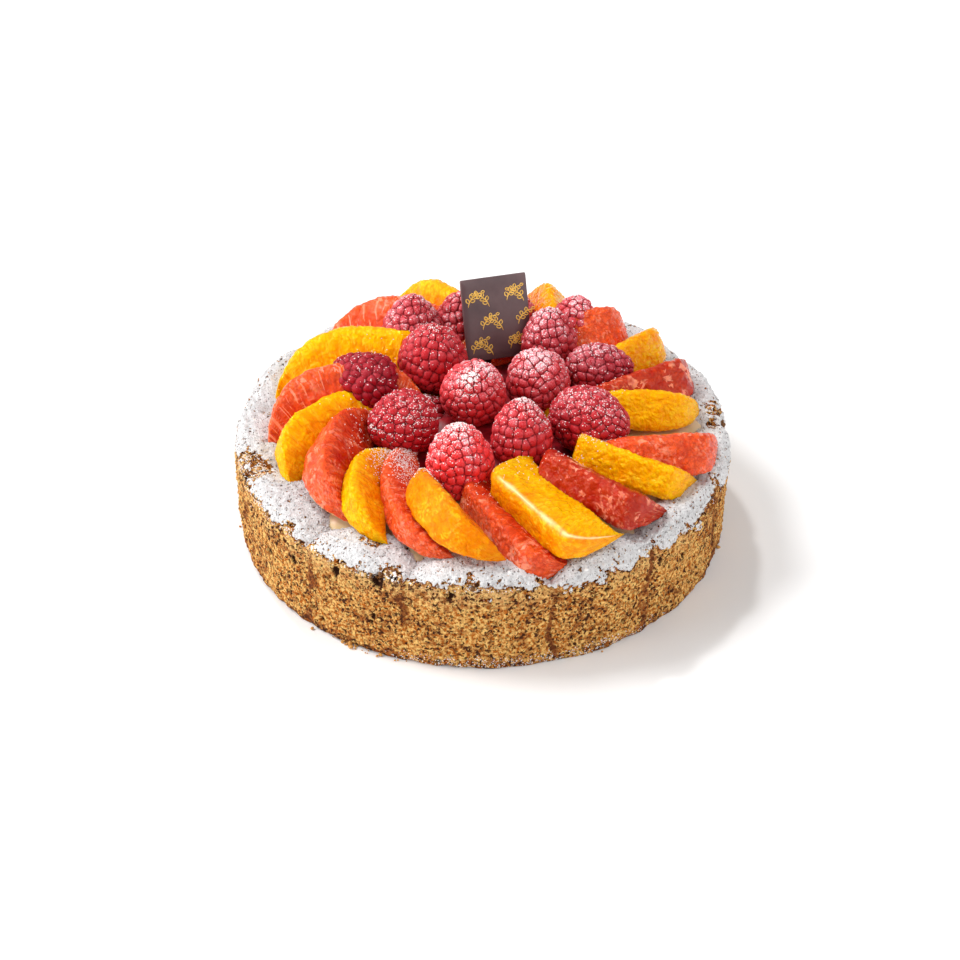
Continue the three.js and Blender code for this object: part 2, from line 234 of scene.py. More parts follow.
def dough_relief(points):
    """How far the dough stands out: broad lumps, packed crumbs that dome between creases, pits in
    some of the cells and grit. Also gives how deep a point lies in a pit, from 0 to 1."""
    dome = domed(*packed_cells(points, CRUMB_SIZE, 11)[:2])
    wobble = 1 + 0.35 * ripple(points, 1.2, 41)
    torn = np.zeros(points.shape[:-1])
    for azimuth, height, radius, depth in HOLES:
        middle = round_upright(CASE_RADIUS, azimuth, height)
        away = np.linalg.norm((points - middle) * (1, 1, 0.8), axis=-1) / (radius * wobble)
        torn = np.maximum(torn, depth * eased(away, 1.5, 0.6))
    pit_near, _, pit_owner = packed_cells(points, PIT_SIZE, 21)
    hole_near, _, hole_owner = packed_cells(points, HOLE_SIZE, 31)
    pit = np.clip(1 - pit_near / (0.34 * wobble), 0, 1) * (pit_owner > 0.45)
    hole = np.clip(1.4 - 1.4 * hole_near / (0.17 * wobble), 0, 1) * (hole_owner > 0.62)
    lumps = 0.5 * ripple(points, 7, 51) + 0.35 * ripple(points, 3, 61)
    relief = lumps + 0.5 * dome - 1.1 * pit - 2.0 * hole + 0.22 * ripple(points, 0.9, 71)
    return relief - torn, np.clip(pit + hole + torn + 0.35 * (1 - dome) ** 3, 0, 1)


def new_piece(name, points, faces, marks=None):
    """An object at the origin with these points, in mm, and faces, and one attribute for each mark."""
    mesh = bpy.data.meshes.new(name)
    mesh.from_pydata(points * MM, [], faces)
    mesh.polygons.foreach_set("use_smooth", np.ones(len(mesh.polygons), bool))
    for key, value in (marks or {}).items():
        numbers = mesh.attributes.new(key, "FLOAT", "POINT").data
        numbers.foreach_set("value", value.astype(np.float32))
    mesh.update()
    piece = bpy.data.objects.new(name, mesh)
    bpy.context.scene.collection.objects.link(piece)
    return piece


def closed_skins(name, grids, marks=None):
    """A mesh of closed skins, one from each grid of points (count, rows, columns, 3). A grid's columns
    run round, and its first and last rows are each one point, closed by a fan of triangles. marks are
    the piece's attributes, one number a point, laid out as the grids."""
    count, rows, columns = grids.shape[:3]
    each = (rows - 2) * columns + 2
    index = np.arange(each - 2).reshape(rows - 2, columns)
    right = np.roll(index, -1, axis=1)
    quads = np.stack([index[:-1], right[:-1], right[1:], index[1:]], -1).reshape(-1, 4)
    start = np.stack([np.full(columns, each - 2), right[0], index[0]], -1)
    end = np.stack([index[-1], right[-1], np.full(columns, each - 1)], -1)
    first = (np.arange(count) * each)[:, None, None]
    faces = (quads + first).reshape(-1, 4).tolist()
    faces += (np.concatenate([start, end]) + first).reshape(-1, 3).tolist()

    def in_order(values):
        size = values.shape[3:]
        middle = values[:, 1:-1].reshape(count, -1, *size)
        ordered = np.concatenate([middle, values[:, 0, :1], values[:, -1, :1]], 1)
        return ordered.reshape(count * each, *size)

    marks = {key: in_order(value) for key, value in (marks or {}).items()}
    return new_piece(name, in_order(grids), faces, marks)


def closed_skin(name, grid, marks=None):
    """A mesh of one closed skin, as closed_skins makes them."""
    return closed_skins(name, grid[None], {key: value[None] for key, value in (marks or {}).items()})


def paint(code):
    """A colour written as six hexadecimal digits, as the four linear numbers that a shader takes."""
    parts = np.array([int(code[i : i + 2], 16) for i in (0, 2, 4)]) / 255
    linear = np.where(parts <= 0.04045, parts / 12.92, ((parts + 0.055) / 1.055) ** 2.4)
    return (*linear.tolist(), 1.0)


def connect(value, socket):
    """Links a signal to a socket, or sets the socket to a number or to the colour a code stands for."""
    if isinstance(value, Signal):
        value.tree.links.new(value.socket, socket)
    else:
        socket.default_value = paint(value) if isinstance(value, str) else value


def add_node(tree, kind, inputs, output=0, **settings):
    """The signal that a new shader node gives out. settings are the node's own properties."""
    made = tree.nodes.new("ShaderNode" + kind)
    for key, value in settings.items():
        setattr(made, key, value)
    for key, value in inputs.items():
        connect(value, made.inputs[key])
    return Signal(tree, made.outputs[output])


class Signal:
    """What a socket of a shader tree gives out. Sums and products of signals make their own nodes."""

    def __init__(self, tree, socket):
        self.tree = tree
        self.socket = socket

    def calculated(self, operation, first, second):
        return add_node(self.tree, "Math", {0: first, 1: second}, operation=operation)

    def __add__(self, other):
        return self.calculated("ADD", self, other)

    def __mul__(self, other):
        return self.calculated("MULTIPLY", self, other)

    def __truediv__(self, other):
        return self.calculated("DIVIDE", self, other)

    def __rtruediv__(self, other):
        return self.calculated("DIVIDE", other, self)

    def __lt__(self, other):
        return self.calculated("LESS_THAN", self, other)

    def spread(self, low, high, to_low=0.0, to_high=1.0):
        """The signal spread from low..high to to_low..to_high and held at those ends."""
        inputs = {"Value": self, 1: low, 2: high, 3: to_low, 4: to_high}
        return add_node(self.tree, "MapRange", inputs)

    def between(self, first, second):
        """The first colour where the signal is 0 and the second where it is 1."""
        inputs = {0: self, 6: first, 7: second}
        return add_node(self.tree, "Mix", inputs, output=2, data_type="RGBA")


def layered(colour, *layers):
    """A colour under layers of others. Each layer is the signal that it shows by and its colour."""
    for share, over in layers:
        colour = share.between(colour, over)
    return colour


def moved(place, operation, second):
    """A place with a vector added, taken away or multiplied, or scaled by a number."""
    key = "Scale" if operation == "SCALE" else 1
    return add_node(place.tree, "VectorMath", {0: place, key: second}, operation=operation)


def bent(place, size, scale, detail, centre):
    """A place moved by a coloured noise, less centre, times size."""
    inputs = {"Vector": place, "Scale": scale, "Detail": detail}
    noise = add_node(place.tree, "TexNoise", inputs, output="Color")
    away = moved(moved(noise, "SUBTRACT", (centre, centre, centre)), "SCALE", size)
    return moved(place, "ADD", away)


def new_group(name, inputs, output, kind="Float"):
    """A node group with a place, numbers that start at these values, and one output. Gives its tree,
    the signals that come in and the socket that goes out."""
    tree = bpy.data.node_groups.new(name, "ShaderNodeTree")
    face = tree.interface
    face.new_socket("Place", in_out="INPUT", socket_type="NodeSocketVector")
    for key, value in inputs.items():
        face.new_socket(key, in_out="INPUT", socket_type="NodeSocketFloat").default_value = value
    face.new_socket(output, in_out="OUTPUT", socket_type="NodeSocket" + kind)
    given = {socket.name: Signal(tree, socket) for socket in tree.nodes.new("NodeGroupInput").outputs}
    return tree, given, tree.nodes.new("NodeGroupOutput").inputs[0]


def grouped(group, place, **inputs):
    """The output of a node group placed in a tree with these values."""
    return add_node(place.tree, "Group", {"Place": place, **inputs}, node_tree=group)


def make_specks():
    """Ragged specks: one in each cell of the given size whose own random number is under Share,
    fading towards Radius, which is in cell sizes. Noise bends the place first."""
    tree, given, out = new_group("specks", {"Size": 1.0, "Share": 0.5, "Radius": 0.35}, "Mask")
    scale = 1.0 / given["Size"]
    place = bent(given["Place"], given["Size"], scale * 1.7, 1.0, 0.5)
    own_colour = add_node(tree, "TexVoronoi", {"Vector": place, "Scale": scale}, output="Color")
    away = Signal(tree, own_colour.socket.node.outputs["Distance"]) / given["Radius"]
    chosen = add_node(tree, "SeparateColor", {0: own_colour}) < given["Share"]
    connect(away.spread(1.0, 2 / 3) * chosen, out)
    return tree


def make_mottle():
    """Blotches from 0 to 1 of the given size: fractal noise with its contrast stretched, whose edges
    curl more the higher Swirl is."""
    tree, given, out = new_group("mottle", {"Size": 1.0, "Contrast": 2.5, "Swirl": 0.0}, "Mask")
    inputs = {"Vector": given["Place"], "Scale": 1.0 / given["Size"], "Detail": 3.0}
    inputs["Distortion"] = given["Swirl"]
    cloud = add_node(tree, "TexNoise", inputs) + -0.5
    connect((cloud * given["Contrast"]).spread(-0.5, 0.5), out)
    return tree


SPECKS = make_specks()
MOTTLE = make_mottle()


def specks(place, size, share, radius):
    """The specks group at a place, with its values."""
    return grouped(SPECKS, place, Size=size, Share=share, Radius=radius)


def mottle(place, size, contrast, swirl=0.0):
    """The mottle group at a place, with its values."""
    return grouped(MOTTLE, place, Size=size, Contrast=contrast, Swirl=swirl)


def make_baked_crumb():
    """The crumb's colour: golden in lighter and darker grains, red-brown flecks and dark chains of
    pores that crowd together where Browned is high, scattered dark specks, and near-black painted
    shade in the pits, holes and creases between crumbs that Pore marks."""
    values = {"Browned": 0.3, "Pore": 0.0, "Pale": 0.0}
    tree, given, out = new_group("baked_crumb", values, "Color", "Color")
    place = given["Place"]
    browned = given["Browned"] + mottle(place, 11, 3.0) * 0.6
    few = browned.spread(0.1, 1.0, 0.34, 0.85)
    colour = layered(
        mottle(place, 1.1, 4.2).between(CRUMB["shade"], CRUMB["light"]),
        (given["Pale"] * 0.45, CRUMB["pale"]),
        ((mottle(place, 2.4, 3.6) + browned).spread(0.9, 1.35) * 0.8, CRUMB["fleck"]),
        (specks(place, 0.95, few, 0.44) * 0.9, CRUMB["speck"]),
        ((mottle(place, 1.5, 4.6) + browned * -0.35).spread(0.04, -0.1), CRUMB["chain"]),
        (specks(place, 1.9, few * 0.7, 0.34), CRUMB["pore"]),
        # Painted shade: near black in the pits, holes and creases between crumbs.
        (given["Pore"].spread(0.2, 0.8), CRUMB["pit"]),
    )
    connect(colour, out)
    return tree


BAKED_CRUMB = make_baked_crumb()


def new_material(name):
    """A material, a point's place on the piece in mm, and what finds the number that each point holds
    under a name."""
    material = bpy.data.materials.new(name)
    material.use_nodes = True
    tree = material.node_tree

    def mark(key):
        return add_node(tree, "Attribute", {}, output="Fac", attribute_name=key)

    return material, moved(add_node(tree, "TexCoord", {}, output="Object"), "SCALE", 1 / MM), mark


def finished(material, inputs, height=None, distance=0.0, strength=1.0):
    """The material, once the inputs of its Principled shader are set or linked. Its surface stands
    out by the height times a distance in mm."""
    shader = material.node_tree.nodes["Principled BSDF"]
    for key, value in inputs.items():
        connect(value, shader.inputs[key])
    if height is not None:
        bump = {"Height": height, "Distance": distance * MM, "Strength": strength}
        connect(add_node(height.tree, "Bump", bump), shader.inputs["Normal"])
    return material


def biscuit_material():
    """Golden open crumb, browned at the seams and the foot, under a scatter of icing sugar."""
    material, place, mark = new_material("baked_biscuit")
    marks = {"Browned": mark("browned"), "Pore": mark("pore"), "Pale": mark("shoulder")}
    colour = layered(
        grouped(BAKED_CRUMB, place, **marks),
        (mark("seam") * 0.6, CRUMB["seam"]),
        (specks(place, 0.55, mark("dust"), 0.6), CRUMB["dust"]),
    )
    height = mottle(place, 0.6, 2.6) + specks(place, 1.9, 0.45, 0.36) * -0.8
    inputs = {"Base Color": colour, "Roughness": 0.85, "Specular IOR Level": 0.2}
    return finished(material, inputs, height, 0.55)


def biscuit_case():
    """The whole case as one skin, closed at the middle of its base and of its recess floor. Relief
    fades to nothing on the base and the floor, and the foot's edge is ragged."""
    azimuth = np.arange(CASE_COLUMNS) * 360 / CASE_COLUMNS
    places = np.concatenate([
        [0.5, 1.5, 2.6], np.linspace(3.2, 5.5, 6)[:-1], np.linspace(5.5, 10.5, 58)[:-1],
        np.linspace(10.5, 15.5, 26)[:-1], [15.5, 16.2, 17, 18, 19.5],
    ])
    smooth = on_case(azimuth, places)
    height = smooth[..., 2]
    radius = np.hypot(smooth[..., 0], smooth[..., 1])
    relief, pore = dough_relief(smooth)
    baked = eased(height, 0, 1.5) * eased(radius, 60, 74)
    points = smooth + outward(smooth) * (relief * baked)[..., None]
    ragged = 0.7 * ripple(smooth, 4, 81) * eased(height, 4, 0) * eased(radius, 80, 87)
    points[..., :2] *= (1 + ragged / np.maximum(radius, 1))[..., None]
    shifted = azimuth + 3.5 * ripple(smooth, 15, 91) + 0.8 * ripple(smooth, 3, 92)
    seam = lobe_at(shifted)[0] * eased(ripple(smooth, 12, 93), -0.8, 0.1)
    front = eased(turned_to(azimuth, -78), -40, -18) * eased(turned_to(azimuth, -78), 40, 18)
    foot_dust = front * eased(height, 7, 2) * (0.5 + 0.5 * ripple(smooth, 3, 96))
    shoulder = eased(height, 24, 36) * np.clip(0.7 + 0.6 * ripple(smooth, 6, 94), 0, 1)
    marks = {
        "pore": pore * eased(height, 0, 0.6),
        "seam": np.clip(seam, 0, 1) * eased(height, 1, 4) * eased(radius, 84, 86),
        "browned": np.clip(0.9 * seam + 0.6 * eased(height, 5, 0), 0, 1),
        "shoulder": shoulder,
        "dust": np.clip(0.6 * foot_dust + 0.75 * eased(height, 34, 39), 0, 1),
    }
    piece = closed_skin("biscuit_case", points, marks)
    piece.data.materials.append(biscuit_material())
    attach(piece, "root")
    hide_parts("crust")


biscuit_case()

# ================================================================ icing sugar on the rim
# The rim is dusted thickly with icing sugar, which lies as a thin white crust over the dough. It is
# broken over the outer edge and at the seams, and pitted where crumbs show through.

SUGAR_COLUMNS = 1360
# Places on the case's outline where the band of sugar starts and ends.
SUGAR_START = 8.7
SUGAR_END = 15.9
SUGAR_DEPTH = 0.7
SKIN_BELOW = 2.2
# The band's under side, inside the dough, has every twelfth row of its top, in the other direction.
UNDER_ROWS = slice(None, None, -12)
# Azimuth, radius, reach and strength of each place on the rim that the sugar left nearly bare.
BARE_PATCHES = [
    (-163, 84, 5, 1.5), (-169, 86, 3, 0.8), (-119, 79, 4, 0.9), (-111, 88.5, 3, 1.1),
    (-106, 88, 2.5, 0.8), (-76, 88, 2.5, 0.7), (-93, 88, 3, 0.6), (-47, 88, 2, 0.7),
    (-36, 82, 3, 0.3), (-20, 87, 3, 0.4), (4, 86, 3, 1.3), (9, 86, 3, 1.0), (-31, 84, 2.5, 0.2),
    (150, 86, 3, 0.5), (-140, 88, 2.5, 0.8), (-132, 88, 3, 1.0), (60, 84, 3, 0.6), (114, 84, 3, 0.5),
]
# Colours of the sugar: its powder, its hollow grey, which is painted shade in random blotches, juice stain
# and pinholes.
SUGAR = {"powder": "FFFEFE", "hollow": "E6E2E2", "juice": "E0808A", "pinhole": "4E3424"}


def sugar_material():
    """White powder, through which the crumb shows in ragged pinholes and gaps and, where it lies
    thin, in patches; its grey in random blotches is painted shade. It is pink where juice has soaked
    in at the inner edge."""
    material, place, mark = new_material("icing_sugar")
    thin = mark("thin")
    crumb = grouped(BAKED_CRUMB, place, Browned=0.45, Pore=0.0, Pale=0.0)
    fine = mottle(place, 0.55, 3.4)
    worn = fine * 0.7 + mottle(place, 1.8, 2.6) * 0.45 + thin * 1.5
    gaps = specks(place, 1.7, thin.spread(0.0, 0.9, 0.14, 0.7), 0.34)
    pinholes = specks(place, 0.7, thin.spread(0.0, 1.0, 0.3, 0.85), 0.36)
    colour = layered(
        # Painted shade: grey blotches in the white powder.
        mottle(place, 1.1, 2.6).between(SUGAR["hollow"], SUGAR["powder"]),
        (mark("juice"), SUGAR["juice"]),
        (worn.spread(1.04, 1.2), crumb),
        (gaps * 0.9, crumb),
        (pinholes * 0.85, SUGAR["pinhole"]),
    )
    inputs = {"Base Color": colour, "Roughness": 0.95, "Specular IOR Level": 0.1}
    return finished(material, inputs, fine + pinholes * -1.0 + gaps * -1.0, 0.5)


def ringed_skin(name, grid, marks):
    """A closed mesh from a grid whose columns and rows both run round and join up."""
    index = np.arange(grid.shape[0] * grid.shape[1]).reshape(grid.shape[:2])
    right = np.roll(index, -1, axis=1)
    above = np.roll(index, -1, axis=0)
    quads = np.stack([index, right, np.roll(right, -1, axis=0), above], -1).reshape(-1, 4)
    marks = {key: value.ravel() for key, value in marks.items()}
    return new_piece(name, grid.reshape(-1, 3), quads.tolist(), marks)


def rim_sugar():
    """A band over the rim whose top stands above the dough by the sugar's depth: a band's cover, less
    broken noise, bare patches and pinholes. Where that is below nothing it dips under the dough."""
    azimuth = np.arange(SUGAR_COLUMNS) * 360 / SUGAR_COLUMNS
    places = np.linspace(SUGAR_START, SUGAR_END, 62)
    smooth = on_case(azimuth, places)
    relief, pore = dough_relief(smooth)
    radius = np.hypot(smooth[..., 0], smooth[..., 1])
    down = lobe_at(azimuth)[4] / 7 * (1 + 0.6 * ripple(smooth, 6, 107))
    outer = eased(places[:, None] + down, 10.2, 12.1)
    ends = eased(places, SUGAR_END, 15.2) * eased(places, SUGAR_START, 9.3)
    cover = 1.3 * outer * ends[:, None] - 0.5 + 0.5 * ripple(smooth, 1.1, 102)
    cover = cover + 0.6 * ripple(smooth, 3.2, 101) * (1 - 0.6 * outer)
    for patch_azimuth, patch_radius, reach, strength in BARE_PATCHES:
        along = np.radians(turned_to(azimuth, patch_azimuth)) * patch_radius
        away = np.hypot(along[None, :], radius - patch_radius)
        cover = cover - strength * bell(away, reach) * (1 + 0.8 * ripple(smooth, 1.6, 103))
    near, _, owner = packed_cells(smooth, 1.5, 104)
    cover = cover - 1.4 * (owner > 0.72) * eased(near, 0.3, 0.12)
    clumps = 0.425 * domed(*packed_cells(smooth, 1.3, 106)[:2]) * eased(cover, 0, 0.3)
    lift = relief + np.clip(cover, -0.8, 0.5) * SUGAR_DEPTH + pore * 0.4 * (cover > 0) + clumps
    normal = outward(smooth)
    under = (smooth - normal * SKIN_BELOW)[UNDER_ROWS]
    grid = np.concatenate([smooth + normal * lift[..., None], under])
    stain = bell(turned_to(azimuth, -36), 16) + 0.8 * bell(turned_to(azimuth, -106), 7)
    juice = stain * eased(places, 13.4, 15.4)[:, None] * (0.35 + 0.5 * ripple(smooth, 3, 105))
    marks = {"thin": np.clip(1 - cover / 0.5, 0, 1), "juice": np.clip(juice, 0, 0.8)}
    marks = {key: np.concatenate([value, value[UNDER_ROWS]]) for key, value in marks.items()}
    piece = ringed_skin("rim_sugar", grid, marks)
    piece.data.materials.append(sugar_material())
    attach(piece, "root")


rim_sugar()

# ================================================================ cream filling
# A smooth pastry cream fills the case to the rim, with a raised middle under the berries. It shows
# in small gaps between the slices, and is red in the middle, partly juice stain from the berries and
# partly painted shade in the gaps between them.

CREAM_TOP = 41
MOUND_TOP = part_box("cream_filling")[1].z / MM
MOUND_RADIUS = 26
CREAM_COLUMNS = 240
CREAM_ROWS = 90


def cream_material():
    """Pale yellow cream with a soft sheen, turning deep red where berry juice has run; under the berries
    the deep red is also painted shade in the gaps between them.
    """
    material, place, mark = new_material("pastry_cream")
    cloud = mottle(place, 5, 2.0)
    # The deep red is partly juice stain and partly painted shade in the gaps between the berries.
    red = mottle(place, 3, 3.0).between("6E0A16", "A81A26")
    inputs = {
        "Base Color": mark("juice").between(cloud.between("F2DCA0", "F8E9BE"), red), "Roughness": 0.38,
        "Subsurface Weight": 0.25, "Subsurface Radius": (0.9, 0.7, 0.4), "Subsurface Scale": 2 * MM,
    }
    return finished(material, inputs, cloud, 0.4, 0.5)


def cream_filling():
    """A lathe of a B-spline outline: flat under, up to the rim, a level ring and a raised middle,
    with slow ripples on its top."""
    azimuth = np.arange(CREAM_COLUMNS) * 360 / CREAM_COLUMNS
    edge = lobe_at(azimuth)[2] - 3.2
    outline = [
        (0, FLOOR_TOP), (0, FLOOR_TOP), (edge * 0.5, FLOOR_TOP), (edge - 3.4, FLOOR_TOP),
        (edge, CREAM_TOP - 6.5), (edge + 0.6, CREAM_TOP - 4), (edge - 2, CREAM_TOP - 2.2),
        (edge - 8, CREAM_TOP), (edge - 24, CREAM_TOP), (MOUND_RADIUS, CREAM_TOP),
        (MOUND_RADIUS - 5, MOUND_TOP - 1), (MOUND_RADIUS - 12, MOUND_TOP),
        (0, MOUND_TOP), (0, MOUND_TOP),
    ]
    points = lathe(outline, azimuth, np.linspace(0.5, len(outline) - 1.5, CREAM_ROWS))
    radius = np.hypot(points[..., 0], points[..., 1])
    upper = eased(points[..., 2], FLOOR_TOP + 2, CREAM_TOP - 3)
    points[..., 2] += upper * (0.5 * ripple(points, 9, 111) + 0.2 * ripple(points, 3, 112))
    # Red in the middle, under the berries: partly juice stain, partly painted shade in the gaps. Paler
    # juice near the rim.
    middle = eased(radius + 5 * ripple(points, 8, 113), 58, 42)
    edges = 0.55 * eased(radius, 60, 70) * (0.7 + 0.3 * ripple(points, 5, 114))
    piece = closed_skin("cream_filling_surface", points, {"juice": np.maximum(middle, edges)})
    piece.data.materials.append(cream_material())
    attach(piece, "root")
    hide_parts("cream_filling")


cream_filling()

# ================================================================ citrus slices
# Twenty skinned segments of orange and pink grapefruit, laid round the cream so that each one's thin
# core edge tucks under the next. Their flesh is packed juice cells that fan out from the core edge,
# under a thin clear glaze.

SLICE_ROWS = 104
SLICE_COLUMNS = 132
SLICE_TIP_Z = 39
SLICE_HEEL_Z = 42.5
SLICE_WEDGE = math.radians(20)
SLICE_POWER = 2.7
SLICE_FILL = 0.55
PEEL_FLATNESS = 0.62
JUICE_CELLS = {"orange": 1.7, "grapefruit": 2.3}
# Colours of the flesh where it is deep, where it is bright, in its creases and in its pale strands;
# how strongly the curled pale blotches of painted reflection and the strands show; the tint of the
# wet skin's reflection.
FLESH = {
    "orange": ("EE7000", "FFC000", "DE6400", "FFDC30", 0.3, 0.3, (1, 0.8, 0.12, 1)),
    "grapefruit": ("C00E02", "F8602A", "940E04", "FAA080", 0.8, 0.7, (1, 0.6, 0.45, 1)),
}
PITH = "FCEBB4"
# One row for each slice, going round anticlockwise from above: kind, azimuth and radius of the outer
# tip, swing past the radius, length, depth, lean, bluntness of the ends, lift, paleness, strength of
# the pith left along its edge. Lengths in mm, angles in degrees. Paleness is partly the slice's own
# colour and partly painted light and shade for how the slice lies in the light; a paleness below
# nothing makes the flesh darker as painted shade. A strength below nothing puts the pith along the
# under edge.
SLICES = [
    ("grapefruit", -66, 84, 6, 51, 23, 14, 13, -2.5, 0.3, 0),
    ("orange", -55, 87, 2, 52, 25, -1, 12, 8, 0.75, 1),
    ("grapefruit", -37, 83, 0, 46, 25, 26, 13, 1.5, -0.5, 0),
    ("orange", -21, 83, -5, 44, 22, 27, 11, 0, 0.6, 0),
    ("grapefruit", -4, 84, 15, 48, 27, 27, 4, -0.5, 0.3, -0.3),
    ("orange", 10, 81, -7, 62, 20, 38, 4, 0.5, 0.6, 0),
    ("grapefruit", 28, 82, 8, 61, 22, 38, 5, -0.5, -0.4, 0),
    ("orange", 44, 83, 2, 50, 21, 33, 5, 1.5, 0.1, 0),
    ("grapefruit", 52, 82, -25, 36, 24, 47, 2.7, 0, 0.6, 0),
    ("orange", 81, 82, 10, 48, 22, 37, 4, 0.5, 0.2, 0),
    ("grapefruit", 96, 79, 8, 44, 25, 36, 4, 0, 0.4, 0),
    ("orange", 117, 81, 13, 49, 23, 34, 4, 1, 0.35, 0),
    ("grapefruit", 141, 78, 16, 63, 28, 27, 3, 0, 0.95, 0),
    ("orange", 166, 79, 7, 72, 30, 28, 3, -0.5, 0.9, 0),
    ("grapefruit", 189, 78, 4, 61, 27, 36, 3, 0, 0.85, -0.2),
    ("orange", 209, 76, 13, 52, 25, 22, 3, 0, 0.75, 0),
    ("grapefruit", 232, 73, 26, 55, 23, 34, 3, 2, 0.35, -0.6),
    ("orange", 245, 77, 20, 47, 20, 27, 2.5, 2, 0.45, 0),
    ("grapefruit", 263, 79, 19, 61, 20, 13, 2.5, 3, 0.55, -0.2),
    ("orange", 276, 83, 25, 52, 20, 38, 2.5, 5, -0.35, 0),
]


def heading(azimuth, elevation):
    """The unit vector at an azimuth and an elevation in degrees."""
    rise = math.radians(elevation)
    return round_upright(math.cos(rise), azimuth, math.sin(rise))


def wedge_reach(angle, depth, under):
    """How far the rounded wedge reaches from its middle in a direction: the smooth blend, by high
    powers, of its upper and under faces and its peel side. under is the under face's own angle."""
    core = PEEL_FLATNESS * depth
    sides = [
        (SLICE_WEDGE + math.pi / 2, core * math.sin(SLICE_WEDGE)),
        (-under - math.pi / 2, core * math.sin(under)),
        (0, (1 - PEEL_FLATNESS) * depth),
    ]
    total = 0
    for normal, distance in sides:
        total = total + (np.maximum(np.cos(angle - normal), 0) / distance) ** SLICE_POWER
    return total ** (-1 / SLICE_POWER)


def slice_axes(azimuth, radius, swing, length, lean, lift):
    """A slice's middle, its long axis, the direction of its peel side and the one across both."""
    drop = math.degrees(math.asin((SLICE_TIP_Z - SLICE_HEEL_Z) / length))
    along = heading(azimuth + swing, drop)
    across = heading(azimuth + swing - 90, 0)
    up = np.cross(across, along)
    to_peel = math.cos(math.radians(lean)) * across + math.sin(math.radians(lean)) * up
    tip = round_upright(radius, azimuth, SLICE_TIP_Z + lift)
    return tip - along * length / 2, along, to_peel, np.cross(to_peel, along)


def slice_grid(row, seed):
    """Points of one slice and its marks. Its sections are rounded wedges that shrink to the core edge
    at both ends. Juice cells are packed in fanned coordinates: along the slice, out from the core and
    round it, drawn long on the flat faces, and each domes between creases."""
    kind, azimuth, radius, swing, length, depth, lean, bluntness, lift, pale, pith = row
    middle, along, to_peel, sideways = slice_axes(azimuth, radius, swing, length, lean, lift)
    station = np.cos(np.pi * np.linspace(0, 1, SLICE_ROWS))[:, None]
    angle = (2 * np.pi * np.arange(SLICE_COLUMNS) / SLICE_COLUMNS)[None, :]
    swell = np.maximum(1 - np.abs(station) ** bluntness, 0) ** SLICE_FILL
    under = math.radians(min(max(20, lean - 6), 30) if lean > 0 else 13)
    reach = wedge_reach(angle, depth, under)
    out = swell * (PEEL_FLATNESS * depth + reach * np.cos(angle))
    side = swell * reach * np.sin(angle)
    axial = station * length / 2 + 0 * angle
    smooth = middle + axial[..., None] * along + out[..., None] * to_peel + side[..., None] * sideways

    fan = axial / (0.5 + 0.5 * np.clip(out / depth, 0, 1))
    size = JUICE_CELLS[kind]
    own = np.stack([fan / size, out / (size * 2.6), np.arctan2(side, out + 1) * depth / size], -1)
    own = own + 0.3 * np.stack([ripple(smooth, 4, seed + k) for k in range(3)], -1)
    near, following, cell = packed_cells(own, 1, seed + 5)
    dome = domed(near, following)
    peel_side = eased(out / np.maximum(swell, 0.05) / depth, 0.62, 0.92)
    peel_side = peel_side if lean > 0 else 1 - peel_side
    relief = 0.5 * ripple(smooth, 10, seed + 7) + 0.4 * ripple(smooth, 3.2, seed + 8)
    relief = relief + (0.2 + 0.25 * peel_side) * (dome**0.8 - 0.6) + 0.08 * ripple(smooth, 1.2, seed + 9)
    points = smooth + outward(smooth) * (relief * eased(swell, 0, 0.35))[..., None]
    streaks = packed_cells(own * np.array([0.8, 0.4, 0.8]), 1, seed + 15)
    edge = math.atan2(math.tan(SLICE_WEDGE) if pith > 0 else -math.tan(under), 1 - PEEL_FLATNESS)
    corner = turned_to(np.degrees(angle), math.degrees(edge))
    marks = {
        "along": own[..., 0],
        "rise": own[..., 1],
        "round": own[..., 2],
        "crease": (1 - dome) ** 2,
        "cell": cell,
        "peel": peel_side,
        # Pale lines along the sac creases, partly membrane and partly painted glints.
        "vein_and_glint": eased(streaks[1] - streaks[0], 0.09, 0.01) * eased(ripple(smooth, 7, seed + 20), -0.1, 0.5),
        "pale": pale + 0 * cell,
        "pith": abs(pith) * bell(corner, 3.4 + 2.4 * ripple(smooth, 4, seed + 21)),
    }
    marks["pith"] *= eased(ripple(smooth, 8, seed + 22), -0.7, 0.1)
    return points, marks


def make_juice_sacs():
    """Fine creases between packed juice sacs, 1 in the crease and 0 beyond Width, in sac sizes. Noise
    bends them."""
    tree, given, out = new_group("juice_sacs", {"Size": 1.0, "Width": 0.12}, "Mask")
    scale = 1.0 / given["Size"]
    inputs = {"Vector": bent(given["Place"], given["Size"], scale, 2.0, 0.0), "Scale": scale}
    distance = add_node(tree, "TexVoronoi", inputs, output="Distance", feature="DISTANCE_TO_EDGE")
    connect(distance.spread(given["Width"], 0.0), out)
    return tree


JUICE_SACS = make_juice_sacs()


